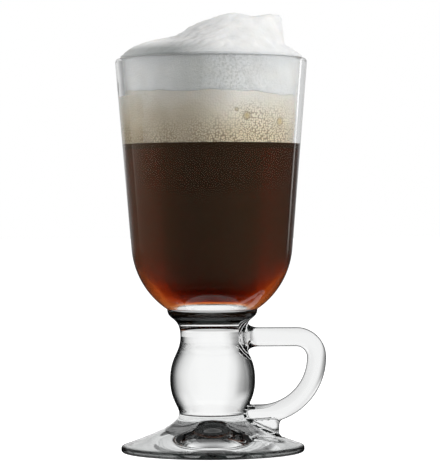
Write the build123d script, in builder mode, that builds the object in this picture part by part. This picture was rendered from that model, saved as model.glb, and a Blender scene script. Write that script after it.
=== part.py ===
"""Irish coffee mug of clear glass, filled with coffee, froth and milk foam.

Millimetres. +Z is up, the origin is the centre of the foot on the table, the handle points along +X.
"""
from build123d import *
from math import asin, cos, hypot, sin, sqrt, acos, atan2
import os

# Foot
foot_diameter = 68.6
foot_height = 14.4
foot_edge_height = 2.4
foot_edge_round = 0.8
foot_ring_width = 3.4
foot_hollow_depth = 1.8
foot_dome_diameter = 30.0
foot_dome_height = 9.4
waist_diameter = 25.2

# Ball stem
ball_diameter = 31.9
ball_height = 28.8
ball_belly_height = 12.4
neck_diameter = 24.0

# Collar between the stem and the bowl
collar_height = 10.1
collar_diameter = 33.8

# Bowl
bowl_height = 93.7
rim_diameter = 72.0
bowl_round_radius = 30.25
bowl_wall = 2.6
bowl_floor = 4.7
bowl_corner_radius = 18.5
rim_round = 1.15

# Handle
handle_rod_diameter = 7.2
handle_reach = 39.0
handle_corner_radius = 7.6
handle_top_drop = 0.4
handle_end_drop = 0.5
handle_flare = 3.6
handle_pad_reach = 24.9
handle_pad_width = 6.2

# Drink
foam_depth = 13.5
froth_depth = 18.3
foam_crown_overlap = 1.2
foam_crown_height = 7.2
mound_height = 16.9
mound_base_width = 40.2
mound_top_width = 19.0
mound_base_offset = 6.6
mound_top_offset = 14.4
mound_top_round = 2.2
mound_depth_ratio = 0.86

waist_z = foot_height
neck_z = waist_z + ball_height
bowl_z = neck_z + collar_height
rim_z = bowl_z + bowl_height

foot_r = foot_diameter / 2
waist_r = waist_diameter / 2
ball_r = ball_diameter / 2
neck_r = neck_diameter / 2
collar_r = collar_diameter / 2
rim_r = rim_diameter / 2
rod_r = handle_rod_diameter / 2

# Outside of the bowl: a round bottom centred on the axis, then a cone that leaves it smoothly
round_z = bowl_z + sqrt(bowl_round_radius**2 - collar_r**2)
rim_distance = hypot(rim_r, rim_z - round_z)
wall_lean = acos(bowl_round_radius / rim_distance) - atan2(rim_z - round_z, rim_r)
outer_tangent = (bowl_round_radius * cos(wall_lean), round_z - bowl_round_radius * sin(wall_lean))

# Levels of the drink
floor_z = bowl_z + bowl_floor
froth_top_z = rim_z - foam_depth
coffee_top_z = froth_top_z - froth_depth

rim_inner_r = rim_r - bowl_wall / cos(wall_lean)


def inner_radius(z):
    """Radius of the inside of the bowl's cone at a height."""
    return rim_inner_r - (rim_z - z) * sin(wall_lean) / cos(wall_lean)


# Inside of the bowl: the same cone one wall further in, a round corner and a flat floor
corner_z = floor_z + bowl_corner_radius
corner_r = inner_radius(corner_z) - bowl_corner_radius / cos(wall_lean)
inner_tangent = (corner_r + bowl_corner_radius * cos(wall_lean), corner_z - bowl_corner_radius * sin(wall_lean))

coffee_top_r = inner_radius(coffee_top_z)
froth_top_r = inner_radius(froth_top_z)

with BuildPart() as foot:
    with BuildSketch(Plane.XZ) as foot_profile:
        with BuildLine():
            dome_r = foot_dome_diameter / 2
            Bezier(
                (0, foot_dome_height),
                (0.28 * dome_r, foot_dome_height),
                (0.40 * dome_r, foot_hollow_depth + 0.1 * foot_dome_height),
                (dome_r, foot_hollow_depth),
            )
            Line((dome_r, foot_hollow_depth), (foot_r - foot_ring_width, 0))
            Line((foot_r - foot_ring_width, 0), (foot_r, 0))
            Line((foot_r, 0), (foot_r, foot_edge_height))
            Bezier(
                (foot_r, foot_edge_height),
                (foot_r - 0.68 * (foot_r - waist_r), foot_edge_height + 0.41 * (foot_height - foot_edge_height)),
                (waist_r, foot_height - 0.29 * (foot_height - foot_edge_height)),
                (waist_r, foot_height),
            )
            Line((waist_r, foot_height), (0, foot_height))
            Line((0, foot_height), (0, foot_dome_height))
        make_face()
        foot_corners = foot_profile.vertices().group_by(Axis.X)[-1]
        fillet(foot_corners, radius=min(foot_edge_round, 0.45 * foot_edge_height))
    revolve(axis=Axis.Z)
foot.part.label = "foot"

with BuildPart() as ball_stem:
    with BuildSketch(Plane.XZ):
        with BuildLine():
            belly_z = waist_z + ball_belly_height
            Line((0, waist_z), (waist_r, waist_z))
            Bezier(
                (waist_r, waist_z),
                (waist_r, waist_z + 0.20 * ball_belly_height),
                (ball_r, belly_z - 0.58 * ball_belly_height),
                (ball_r, belly_z),
            )
            Bezier(
                (ball_r, belly_z),
                (ball_r, belly_z + 0.55 * (neck_z - belly_z)),
                (neck_r, neck_z - 0.39 * (neck_z - belly_z)),
                (neck_r, neck_z),
            )
            Line((neck_r, neck_z), (0, neck_z))
            Line((0, neck_z), (0, waist_z))
        make_face()
    revolve(axis=Axis.Z)
ball_stem.part.label = "ball_stem"

with BuildPart() as collar:
    with BuildSketch(Plane.XZ):
        with BuildLine():
            Line((0, neck_z), (neck_r, neck_z))
            Bezier(
                (neck_r, neck_z),
                (neck_r, neck_z + 0.75 * collar_height),
                (collar_r, bowl_z - 0.42 * collar_height),
                (collar_r, bowl_z),
            )
            Line((collar_r, bowl_z), (0, bowl_z))
            Line((0, bowl_z), (0, neck_z))
        make_face()
    revolve(axis=Axis.Z)
collar.part.label = "collar"

with BuildPart() as bowl:
    with BuildSketch(Plane.XZ) as bowl_profile:
        with BuildLine():
            bottom_angle = asin((round_z - bowl_z) / bowl_round_radius)
            middle_angle = (bottom_angle + wall_lean) / 2
            Line((0, floor_z), (0, bowl_z))
            Line((0, bowl_z), (collar_r, bowl_z))
            ThreePointArc(
                (collar_r, bowl_z),
                (bowl_round_radius * cos(middle_angle), round_z - bowl_round_radius * sin(middle_angle)),
                outer_tangent,
            )
            Line(outer_tangent, (rim_r, rim_z))
            Line((rim_r, rim_z), (rim_inner_r, rim_z))
            Line((rim_inner_r, rim_z), inner_tangent)
            TangentArc((corner_r, floor_z), inner_tangent, tangent=(1, 0))
            Line((corner_r, floor_z), (0, floor_z))
        make_face()
        rim_corners = bowl_profile.vertices().group_by(Axis.Y)[-1]
        fillet(rim_corners, radius=min(rim_round, 0.45 * bowl_wall))
    revolve(axis=Axis.Z)
bowl.part.label = "bowl"

# Handle: straight top arm, tight corner, then one wide bend back to the waist of the foot
rod_top_z = neck_z - handle_top_drop
rod_end_z = waist_z - handle_end_drop
bend_radius = rod_top_z - handle_corner_radius - rod_end_z

with BuildPart() as handle_pad:
    with BuildSketch(Plane.XZ):
        with BuildLine():
            Polyline(
                (waist_r - 1.5, rod_end_z),
                (waist_r - 1.5, foot_height - 3.0),
                (handle_pad_reach, foot_edge_height + 1.0),
                (handle_pad_reach, rod_end_z),
                close=True,
            )
        make_face()
    extrude(amount=handle_pad_width / 2, both=True)
    pad_nose = handle_pad.edges().filter_by(Axis.Z).group_by(Axis.X)[-1]
    fillet(pad_nose, radius=0.42 * handle_pad_width)

with BuildPart() as handle:
    with BuildLine(Plane.XZ) as rod_path:
        top_arm = Line((0, rod_top_z), (handle_reach - handle_corner_radius, rod_top_z))
        corner = JernArc(top_arm @ 1, (1, 0), handle_corner_radius, -90)
        bend = JernArc(corner @ 1, (0, -1), bend_radius, -90)
        Line(bend @ 1, (0, rod_end_z))
    with BuildSketch(Plane(origin=(0, 0, rod_top_z), x_dir=(0, 1, 0), z_dir=(1, 0, 0))):
        Circle(rod_r)
    sweep(path=rod_path.line)
    with BuildSketch(Plane.XZ):
        with BuildLine():
            flare_end = neck_r + 1.4 * handle_flare
            flare_start = neck_r - 2.0
            Line((0, rod_top_z), (flare_end, rod_top_z))
            Line((flare_end, rod_top_z), (flare_end, rod_top_z + rod_r))
            Bezier(
                (flare_end, rod_top_z + rod_r),
                (flare_end - 0.8 * handle_flare, rod_top_z + rod_r),
                (neck_r, rod_top_z + rod_r + 0.4 * handle_flare),
                (flare_start, rod_top_z + rod_r + handle_flare),
            )
            Line((flare_start, rod_top_z + rod_r + handle_flare), (0, rod_top_z + rod_r + handle_flare))
            Line((0, rod_top_z + rod_r + handle_flare), (0, rod_top_z))
        make_face()
    revolve(axis=Axis((0, 0, rod_top_z), (1, 0, 0)))
    add(handle_pad.part)
    add(foot.part, mode=Mode.SUBTRACT)
    add(ball_stem.part, mode=Mode.SUBTRACT)
    add(collar.part, mode=Mode.SUBTRACT)
handle.part.label = "handle"

with BuildPart() as coffee:
    with BuildSketch(Plane.XZ):
        with BuildLine():
            Line((0, floor_z), (corner_r, floor_z))
            TangentArc((corner_r, floor_z), inner_tangent, tangent=(1, 0))
            Line(inner_tangent, (coffee_top_r, coffee_top_z))
            Line((coffee_top_r, coffee_top_z), (0, coffee_top_z))
            Line((0, coffee_top_z), (0, floor_z))
        make_face()
    revolve(axis=Axis.Z)
coffee.part.label = "coffee"

with BuildPart() as froth:
    with BuildSketch(Plane.XZ):
        with BuildLine():
            Line((0, coffee_top_z), (coffee_top_r, coffee_top_z))
            Line((coffee_top_r, coffee_top_z), (froth_top_r, froth_top_z))
            Line((froth_top_r, froth_top_z), (0, froth_top_z))
            Line((0, froth_top_z), (0, coffee_top_z))
        make_face()
    revolve(axis=Axis.Z)
froth.part.label = "froth"

with BuildPart() as milk_foam:
    crown_r = rim_inner_r + foam_crown_overlap
    crown_z = rim_z + foam_crown_height
    with BuildSketch(Plane.XZ):
        with BuildLine():
            Line((0, froth_top_z), (froth_top_r, froth_top_z))
            Line((froth_top_r, froth_top_z), (rim_inner_r, rim_z))
            Line((rim_inner_r, rim_z), (crown_r, rim_z))
            Bezier(
                (crown_r, rim_z),
                (0.94 * crown_r, rim_z + 0.74 * foam_crown_height),
                (0.70 * crown_r, crown_z),
                (0, crown_z),
            )
            Line((0, crown_z), (0, froth_top_z))
        make_face()
    revolve(axis=Axis.Z)
    for rise in (0.0, 0.45, 0.78, 1.0):
        lean = rise**1.6
        half_width = (mound_base_width + (mound_top_width - mound_base_width) * lean) / 2
        offset_x = mound_base_offset + (mound_top_offset - mound_base_offset) * lean
        level_z = rim_z + foam_crown_height / 2 + (mound_height - foam_crown_height / 2) * rise
        with BuildSketch(Plane.XY.offset(level_z)):
            with Locations((offset_x, 0)):
                Ellipse(half_width, half_width * mound_depth_ratio)
    loft()
    fillet(milk_foam.faces().sort_by(Axis.Z)[-1].edges(), radius=mound_top_round)
milk_foam.part.label = "milk_foam"

os.makedirs("parts", exist_ok=True)
export_step(foot.part, "parts/foot.step")
export_step(ball_stem.part, "parts/ball_stem.step")
export_step(collar.part, "parts/collar.step")
export_step(bowl.part, "parts/bowl.step")
export_step(handle.part, "parts/handle.step")
export_step(coffee.part, "parts/coffee.step")
export_step(froth.part, "parts/froth.step")
export_step(milk_foam.part, "parts/milk_foam.step")
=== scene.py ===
"""Looks of the Irish coffee glass mug: fused clear glass, coffee, froth and milk foam on a pale table."""
import logging
import math
from dataclasses import dataclass, field
from enum import Enum, IntEnum
from typing import Iterable, Sequence

import bmesh
import bpy
import numpy as np
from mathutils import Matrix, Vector, noise


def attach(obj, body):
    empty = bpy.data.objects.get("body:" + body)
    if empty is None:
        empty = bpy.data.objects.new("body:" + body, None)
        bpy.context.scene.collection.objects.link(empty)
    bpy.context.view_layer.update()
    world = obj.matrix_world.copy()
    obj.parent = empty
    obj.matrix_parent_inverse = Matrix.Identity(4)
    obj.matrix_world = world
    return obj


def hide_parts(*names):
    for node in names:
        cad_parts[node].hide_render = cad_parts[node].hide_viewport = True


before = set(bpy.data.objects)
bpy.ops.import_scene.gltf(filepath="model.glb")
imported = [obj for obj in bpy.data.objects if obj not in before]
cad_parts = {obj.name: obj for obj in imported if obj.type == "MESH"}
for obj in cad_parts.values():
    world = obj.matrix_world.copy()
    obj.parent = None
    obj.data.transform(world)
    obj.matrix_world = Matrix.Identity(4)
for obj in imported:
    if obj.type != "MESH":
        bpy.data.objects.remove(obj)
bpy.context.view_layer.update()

MM = 0.001
FRAME_WIDTH, FRAME_HEIGHT = 440, 470
SENSOR = 36.0
BODY = "root"
CREASE = math.radians(50)
FOLD_SLOPE = (-0.547, 0.838)
# Near-black colour of the painted shade at the edges of the glass and in its dark strokes.
PAINTED_SHADE = (0.02, 0.024, 0.023)
BLACK, WHITE = (0.0, 0.0, 0.0), (1.0, 1.0, 1.0)
LOG = logging.getLogger("irish_coffee_mug")

Point = tuple[float, float]
Points = tuple[Point, ...]
Spot = tuple[float, float, float]
Colour = tuple[float, float, float]
Socket = bpy.types.NodeSocket
Material = bpy.types.Material


class Slot(Enum):
    """Material slots of the record."""

    GLASS = "clear_glass"
    COFFEE = "coffee"
    FROTH = "froth"
    FOAM = "milk_foam"


class Region(IntEnum):
    """Parts of the fused glass, in the order of its face marks."""

    FOOT = 0
    BALL = 1
    COLLAR = 2
    HANDLE = 3
    PAD = 4
    SEAM = 5
    DOME = 6


class StemSkin(IntEnum):
    """Finishes of a piece of the stem, in the order of its material slots."""

    CLEAR = 0
    SEAM = 1
    ROOT = 2
    DOME = 3


class BowlSkin(IntEnum):
    """Finishes of the bowl, in the order of its material slots."""

    CLEAR = 0
    WETTED = 1
    SEAM = 2
    RIM = 3


class CoffeeSkin(IntEnum):
    """Finishes of the coffee, in the order of its material slots."""

    SIDE = 0
    TOP = 1
    HEART = 2
    BODY = 3


def clamp(value: float) -> float:
    """Keeps a number between 0 and 1."""
    return min(1.0, max(0.0, value))


def circle(count: int) -> list[Point]:
    """Gives the cosine and sine of even steps round a full turn."""
    return [(math.cos(2 * math.pi * j / count), math.sin(2 * math.pi * j / count)) for j in range(count)]


# Shader desk

class Desk:
    """Adds and links the shader nodes of one material or world."""

    def __init__(self, tree: bpy.types.NodeTree) -> None:
        """Empties the node tree and keeps it."""
        self.tree = tree
        tree.nodes.clear()

    def add(self, kind: str, inputs: dict | None = None, **options: object) -> bpy.types.Node:
        """Adds a node.

        Args:
            kind: Blender's node type.
            inputs: socket name or number to a value or to an output socket.
            options: settings of the node itself.

        Returns:
            The new node.
        """
        node = self.tree.nodes.new(kind)
        for name, value in options.items():
            setattr(node, name, value)
        for name, value in (inputs or {}).items():
            self.put(node.inputs[name], value)
        return node

    def put(self, socket: Socket, value: object) -> None:
        """Links a socket to an output or gives it a value.

        Args:
            socket: input socket to fill.
            value: output socket, number or colour.
        """
        if isinstance(value, Socket):
            self.tree.links.new(value, socket)
        elif isinstance(value, tuple) and len(value) == 3 and socket.type == "RGBA":
            socket.default_value = (*value, 1.0)
        else:
            socket.default_value = value

    def maths(self, operation: str, *values: object) -> Socket:
        """Adds a Math node for one to three values and returns its result."""
        return self.add("ShaderNodeMath", dict(enumerate(values)), operation=operation).outputs[0]

    def product(self, first: object, *others: object) -> Socket:
        """Multiplies values.

        Args:
            first: number or socket.
            others: numbers or sockets to multiply it by.

        Returns:
            The product's socket.
        """
        for other in others:
            first = self.maths("MULTIPLY", first, other)
        return first

    def wave(self, angle: Socket) -> Socket:
        """Swings between 0 and 1 with an angle in radians."""
        return self.maths("MULTIPLY_ADD", self.maths("SINE", angle), 0.5, 0.5)

    def mix(self, factor: object, first: object, second: object) -> Socket:
        """Mixes two colours.

        Args:
            factor: share of the second colour.
            first: colour or socket.
            second: colour or socket.

        Returns:
            The mixed colour's socket.
        """
        node = self.add("ShaderNodeMix", data_type="RGBA", clamp_factor=True)
        for number, value in ((0, factor), (6, first), (7, second)):
            self.put(node.inputs[number], value)
        return node.outputs[2]

    def blend(self, factor: object, first: bpy.types.Node, second: bpy.types.Node) -> bpy.types.Node:
        """Mixes two shader nodes by the share of the second."""
        return self.add("ShaderNodeMixShader", {0: factor, 1: first.outputs[0], 2: second.outputs[0]})

    def ramp(self, factor: object, stops: Sequence[Point]) -> Socket:
        """Adds a grey ramp.

        Args:
            factor: number or socket from 0 to 1.
            stops: place and grey value of each stop.

        Returns:
            The ramp's colour socket.
        """
        node = self.add("ShaderNodeValToRGB", {0: factor})
        elements = node.color_ramp.elements
        while len(elements) < len(stops):
            elements.new(0.5)
        for element, (at, value) in zip(elements, stops):
            element.position = at
            element.color = (value, value, value, 1.0)
        return node.outputs[0]

    def spot(self) -> Socket:
        """Gives the place on the piece, in its own coordinates."""
        return self.add("ShaderNodeTexCoord").outputs["Object"]

    def axes(self) -> Sequence[Socket]:
        """Gives x, y and z of the place on the piece."""
        return self.add("ShaderNodeSeparateXYZ", {0: self.spot()}).outputs

    def away(self, here: Socket, centre: Spot) -> Socket:
        """Gives the distance in metres from a centre in millimetres."""
        inputs = {0: here, 1: tuple(c * MM for c in centre)}
        return self.add("ShaderNodeVectorMath", inputs, operation="DISTANCE").outputs["Value"]

    def span(self, along: Socket, low: float, high: float, first: float = 0.0, last: float = 1.0) -> Socket:
        """Rises from one value to another between two places.

        Args:
            along: place in metres.
            low: place in millimetres where the rise begins.
            high: place in millimetres where it ends.
            first: value before the rise.
            last: value after it.

        Returns:
            The risen value's socket.
        """
        return self.add("ShaderNodeMapRange", {0: along, 1: low * MM, 2: high * MM, 3: first, 4: last}).outputs[0]

    def profile(self, along: Socket, points: Points) -> Socket:
        """Follows a list of shares along an axis.

        Args:
            along: place in metres.
            points: place in millimetres and share of each point.

        Returns:
            The share at the place.
        """
        low, high = points[0][0], points[-1][0]
        return self.ramp(self.span(along, low, high), [((at - low) / (high - low), share) for at, share in points])

    def inner(self) -> Socket:
        """Gives 1 on the inside of a skin and 0 on its outside."""
        return self.add("ShaderNodeNewGeometry").outputs["Backfacing"]

    def outer(self) -> Socket:
        """Gives 1 on the outside of a skin and 0 on its inside."""
        return self.maths("SUBTRACT", 1.0, self.inner())

    def noise(self, scale: float, detail: float = 2.0, roughness: float = 0.5) -> Socket:
        """Adds a noise texture in the piece's own coordinates.

        Args:
            scale: lumps per metre.
            detail: octaves.
            roughness: weight of the fine octaves.

        Returns:
            The noise value's socket.
        """
        return self.add("ShaderNodeTexNoise", {
            "Vector": self.spot(), "Scale": scale, "Detail": detail, "Roughness": roughness}).outputs[0]

    def cells(self, scale: float) -> Socket:
        """Gives the distance from the nearest of so many cells per metre, in the piece's own coordinates."""
        return self.add("ShaderNodeTexVoronoi", {"Vector": self.spot(), "Scale": scale}).outputs["Distance"]

    def packed(self, scale: float, radius: float) -> Socket:
        """Adds closely packed cells on a skin turned about the axis.

        Args:
            scale: cells per metre.
            radius: radius of the skin in millimetres.

        Returns:
            The distance from the nearest cell's middle.
        """
        x, y, z = self.axes()
        around = self.product(self.maths("ARCTAN2", x, self.product(y, -1.0)), radius * MM)
        flat = self.add("ShaderNodeCombineXYZ", {0: around, 1: z}).outputs[0]
        return self.add("ShaderNodeTexVoronoi", {
            "Vector": flat, "Scale": scale, "Randomness": 0.75}, voronoi_dimensions="2D").outputs["Distance"]

    def bump(self, height: Socket, strength: float, distance: float, below: Socket | None = None) -> Socket:
        """Adds a bump.

        Args:
            height: height socket.
            strength: share of the bump.
            distance: height in millimetres.
            below: normal of the bump underneath.

        Returns:
            The normal's socket.
        """
        node = self.add("ShaderNodeBump", {"Height": height, "Strength": strength, "Distance": distance * MM})
        if below is not None:
            self.put(node.inputs["Normal"], below)
        return node.outputs[0]

    def finish(self, surface: bpy.types.Node, passed: Colour = WHITE, strength: float = 0.0) -> None:
        """Links the material's output.

        Args:
            surface: shader of the surface.
            passed: colour that the inside lets through.
            strength: how strongly the inside swallows the rest, or 0 for nothing inside.
        """
        output = self.add("ShaderNodeOutputMaterial", {"Surface": surface.outputs[0]})
        if strength > 0.0:
            inside = self.add("ShaderNodeVolumeAbsorption", {"Color": passed, "Density": strength})
            self.put(output.inputs["Volume"], inside.outputs[0])


def new_material(name: str) -> tuple[Material, Desk]:
    """Makes an empty node material.

    Args:
        name: name of the material.

    Returns:
        The material and the desk to fill it on.
    """
    made = bpy.data.materials.new(name)
    made.use_nodes = True
    return made, Desk(made.node_tree)


# Finishes

@dataclass(frozen=True)
class GlassFinish:
    """Clear pressed glass with faint waves, darkened towards its silhouette by painted shade, with bands of painted
    shade at some heights where asked.

    Heights and the crinkles' period are in millimetres, marks and ripples are counted per metre.
    """

    name: str
    ior: float = 1.52
    clear: Colour = (0.985, 0.992, 0.99)
    # Painted shade: edge and clearness darken the base colour as the skin turns away, line and outline lay a dark
    # see-through sheet at the silhouette.
    edge: Colour = PAINTED_SHADE
    clearness: Points = ((0.5, 1.0), (0.7, 0.75), (1.0, 0.4))
    line: Colour = (0.25, 0.27, 0.27)
    outline: Points = ((0.80, 0.0), (1.0, 0.5))
    # Painted shade: dark bands at given heights on the outside of the skin.
    painted_shade_bands: Points = ()
    marks: float = 0.0
    root_z: float = 42.8
    crinkle: float = 1.7
    wander: float = 8.0
    breaks: Points = ((0.30, 0.0), (0.40, 1.0))
    # Dark strokes of painted shade and bright painted glints across each crinkle.
    strokes: Points = ((0.10, 0.0), (0.20, 0.98))
    glints: Points = ((0.07, 0.95), (0.13, 0.0))
    glint: Colour = (0.85, 0.86, 0.86)
    ripple: float = 0.05
    ripple_scale: float = 90.0
    ripple_height: float = 1.2
    # Grey taken up inside where depth is set; on the foot it darkens the glass as painted shade.
    body: Colour = (0.42, 0.46, 0.455)
    depth: float = 0.0
    shadow: Colour = (0.985, 0.988, 0.988)
    outside_only: bool = False

    def drawn(self, desk: Desk, facing: Socket) -> Socket:
        """Gives the share of the skin that is drawn dark as painted shade: outlines, bands at some heights and the
        crinkled marks.

        Args:
            desk: shader desk to work on.
            facing: how far the skin turns away.

        Returns:
            The dark share.
        """
        share = desk.ramp(facing, self.outline)
        if self.outside_only:
            share = desk.product(share, desk.outer())
        if self.painted_shade_bands:
            painted_shade_bands = desk.product(desk.profile(desk.axes()[2], self.painted_shade_bands), desk.outer())
            share = desk.maths("MAXIMUM", share, painted_shade_bands)
        if self.marks > 0.0:
            share = desk.maths("MAXIMUM", share, self.crinkles(desk, self.strokes))
        return share

    def crinkles(self, desk: Desk, stops: Points) -> Socket:
        """Draws broken strokes round the rod's root, where hot glass was pressed on; they are painted shade with the
        dark stops and painted glints with the bright ones.

        Args:
            desk: shader desk to work on.
            stops: strength of the stroke across one crinkle, from its trough to its crest.

        Returns:
            The share of stroke on the outside of the skin.
        """
        flat = desk.add("ShaderNodeVectorMath", {0: desk.spot(), 1: (0.0, 1.0, 1.0)}, operation="MULTIPLY").outputs[0]
        turns = desk.product(desk.away(flat, (0.0, 0.0, self.root_z)), 2 * math.pi / (self.crinkle * MM))
        wander = desk.product(desk.noise(0.5 * self.marks), self.wander)
        strokes = desk.ramp(desk.wave(desk.maths("ADD", turns, wander)), stops)
        breaks = desk.ramp(desk.noise(self.marks, 2.0, 0.6), self.breaks)
        return desk.product(strokes, breaks, desk.outer())

    def material(self) -> Material:
        """Makes the glass material.

        Returns:
            The new material.
        """
        made, desk = new_material(self.name)
        facing = desk.add("ShaderNodeLayerWeight", {"Blend": 0.5}).outputs["Facing"]
        # Painted shade: the base colour darkens towards the silhouette.
        clear = desk.ramp(facing, self.clearness)
        if self.outside_only:
            clear = desk.maths("MAXIMUM", clear, desk.inner())
        waves = desk.bump(desk.noise(self.ripple_scale, 1.0), self.ripple, self.ripple_height)
        glass = desk.add("ShaderNodeBsdfPrincipled", {
            "Base Color": desk.mix(clear, self.edge, self.clear), "Roughness": 0.0, "IOR": self.ior,
            "Transmission Weight": 1.0, "Normal": waves})
        # Dark see-through sheet of painted shade over outlines, bands and strokes.
        shade_sheet = desk.add("ShaderNodeBsdfTransparent", {"Color": self.line})
        skin = desk.blend(self.drawn(desk, facing), glass, shade_sheet)
        # Painted glints: white matt strokes between the dark ones.
        if self.marks > 0.0:
            glint = desk.add("ShaderNodeBsdfDiffuse", {"Color": self.glint})
            skin = desk.blend(self.crinkles(desk, self.glints), skin, glint)
        shadow = desk.add("ShaderNodeBsdfTransparent", {"Color": self.shadow})
        path = desk.add("ShaderNodeLightPath").outputs
        soft = desk.maths("MAXIMUM", path["Is Shadow Ray"], path["Is Diffuse Ray"])
        desk.finish(desk.blend(soft, skin, shadow), self.body, self.depth)
        return made


@dataclass(frozen=True)
class SeamFinish:
    """Joint inside the glass or the drink, which light crosses unbent, into a denser body where asked."""

    name: str
    passed: Colour = WHITE
    strength: float = 0.0

    def material(self) -> Material:
        """Makes the seam material.

        Returns:
            The new material.
        """
        made, desk = new_material(self.name)
        tint = desk.ramp(desk.noise(60.0), ((0.0, 0.995), (1.0, 1.0)))
        desk.finish(desk.add("ShaderNodeBsdfTransparent", {"Color": tint}), self.passed, self.strength)
        return made


@dataclass(frozen=True)
class CoffeeFinish:
    """Strong black coffee, red brown where it is thin, with painted light on the side away from the handle and a
    painted orange-brown glow towards the bottom.
    """

    name: str
    passed: Colour = (0.96, 0.587, 0.167)
    strength: float = 150.0
    brown: Colour = (0.072, 0.041, 0.020)
    # Painted light: a lighter brown and a larger matt share on the side away from the handle.
    painted_light: Colour = (0.114, 0.066, 0.032)
    painted_light_side: Point = (-8.0, -26.0)
    painted_light_cloud: float = 0.5
    # Painted glow: orange-brown colour towards the bottom.
    painted_amber_glow: Colour = (0.14, 0.047, 0.015)
    painted_glow_rise: Point = (67.0, 59.0)
    painted_glow_bend: float = 1.6
    cloud: float = 0.4
    cloud_rise: Point = (59.5, 66.0)

    def material(self) -> Material:
        """Makes the coffee material.

        Returns:
            The new material.
        """
        made, desk = new_material(self.name)
        drifts = desk.ramp(desk.noise(45.0), ((0.3, 0.97), (0.7, 1.0)))
        liquid = desk.add("ShaderNodeBsdfPrincipled", {
            "Base Color": drifts, "Roughness": 0.0, "IOR": 1.0, "Transmission Weight": 1.0})
        x, _, height = desk.axes()
        # Share of painted light, rising towards the side away from the handle.
        side = desk.span(x, *self.painted_light_side)
        # Share of painted glow, rising towards the bottom.
        depth = desk.maths("POWER", desk.span(height, *self.painted_glow_rise), self.painted_glow_bend)
        tone = desk.mix(depth, desk.mix(side, self.brown, self.painted_light), self.painted_amber_glow)
        clouded = desk.add("ShaderNodeBsdfDiffuse", {"Color": tone})
        cloud = desk.span(height, *self.cloud_rise, 0.0, self.cloud)
        # The matt share grows on the side of painted light.
        cloud = desk.product(cloud, desk.maths("MULTIPLY_ADD", side, self.painted_light_cloud, 1.0))
        desk.finish(desk.blend(cloud, liquid, clouded), self.passed, self.strength)
        return made


@dataclass(frozen=True)
class FrothFinish:
    """Coffee froth, cream above and tan towards the coffee, paler towards the handle by painted light and greyed from
    side to side by painted shade, with bubbles that show most by the handle and below.
    """

    name: str
    milky: Colour = (0.93, 0.90, 0.83)
    cream: Colour = (0.92, 0.80, 0.56)
    tan: Colour = (0.46, 0.37, 0.25)
    wet: Colour = (0.17, 0.11, 0.06)
    gold: Colour = (0.60, 0.47, 0.22)
    # Painted shade: grey-brown laid over the froth, its share given by place from side to side.
    shade: Colour = (0.38, 0.32, 0.23)
    painted_shade_by_x: Points = (
        (-36, 0.3), (-22, 0.3), (-15, 0.4), (-9, 0.5), (-3, 0.5), (4, 0.25), (9, 0.0), (14, 0.05), (20, 0.25),
        (36, 0.25))
    levels: Point = (115.2, 133.5)
    # Where the froth turns paler by painted light and its bubbles show more, towards the handle.
    handle_side_light_and_bubbles: Point = (-9.0, 15.0)
    skin_r: float = 33.3
    bubbles: Point = (1080.0, 1480.0)
    walls: Points = ((0.34, 0.0), (0.56, 0.7))
    middles: Points = ((0.15, 0.8), (0.36, 0.0))
    blisters: tuple[tuple[float, float, float, float], ...] = (
        (12.8, -29.4, 124.8, 1.6), (24.6, -20.4, 122.8, 1.8), (9.2, -31.0, 127.0, 1.0), (19.0, -26.0, 123.2, 0.8),
        (14.4, -28.4, 119.6, 0.8), (29.0, 13.6, 125.4, 1.5), (9.0, 30.8, 123.0, 1.3), (-16.0, 27.6, 126.6, 1.6),
        (-29.8, 11.4, 124.0, 1.2))

    def shown(self, desk: Desk, rise: Socket, side: Socket) -> Socket:
        """Tells where the small bubbles show.

        Args:
            desk: shader desk to work on.
            rise: share of the froth's height.
            side: nearness to the handle.

        Returns:
            The share that shows.
        """
        low = desk.product(desk.maths("SUBTRACT", 0.46, rise), 1.5)
        patches = desk.product(desk.maths("SUBTRACT", desk.noise(90.0), 0.5), 1.2)
        shown = desk.maths("ADD", desk.maths("MULTIPLY_ADD", side, 1.4, low), patches)
        return desk.maths("MINIMUM", desk.maths("MAXIMUM", shown, 0.05), 0.95)

    def material(self) -> Material:
        """Makes the froth material.

        Returns:
            The new material.
        """
        made, desk = new_material(self.name)
        x, _, z = desk.axes()
        rise = desk.span(z, *self.levels)
        side = desk.span(x, *self.handle_side_light_and_bubbles, 0.0, 0.5)
        patches = desk.maths("SUBTRACT", desk.noise(110.0, 3.0), 0.5)
        # Paler with height and at random, and towards the handle by painted light.
        pale = desk.maths("ADD", rise, desk.maths("MULTIPLY_ADD", patches, 0.9, side))
        drift = desk.ramp(desk.maths("MULTIPLY_ADD", patches, 0.25, rise), ((0.15, 0.0), (0.95, 1.0)))
        full = desk.mix(drift, self.cream, self.milky)
        # Painted shade from side to side.
        tone = desk.mix(desk.profile(x, self.painted_shade_by_x), desk.mix(pale, self.tan, full), self.shade)
        shown = self.shown(desk, rise, side)
        fine = desk.ramp(desk.noise(150.0, 1.0), ((0.45, 0.0), (0.55, 1.0)))
        cores = desk.mix(fine, *(desk.packed(scale, self.skin_r) for scale in self.bubbles))
        tone = desk.mix(desk.product(desk.ramp(cores, self.walls), shown), tone, self.wet)
        tone = desk.mix(desk.product(desk.ramp(cores, self.middles), shown), tone, full)
        for *centre, size in self.blisters:
            away = desk.maths("DIVIDE", desk.away(desk.spot(), tuple(centre)), 2 * size * MM)
            tone = desk.mix(desk.ramp(away, ((0.20, 0.85), (0.55, 0.0))), tone, self.gold)
            tone = desk.mix(desk.ramp(away, ((0.30, 0.0), (0.45, 0.45), (0.60, 0.0))), tone, self.wet)
        lumps = desk.bump(desk.noise(420.0, 3.0), 0.2, 0.6, desk.bump(cores, 0.2, 0.6))
        desk.finish(desk.add("ShaderNodeBsdfPrincipled", {
            "Base Color": tone, "Roughness": 0.55, "Subsurface Weight": 0.15, "Subsurface Scale": 0.001,
            "Normal": lumps}))
        return made


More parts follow.
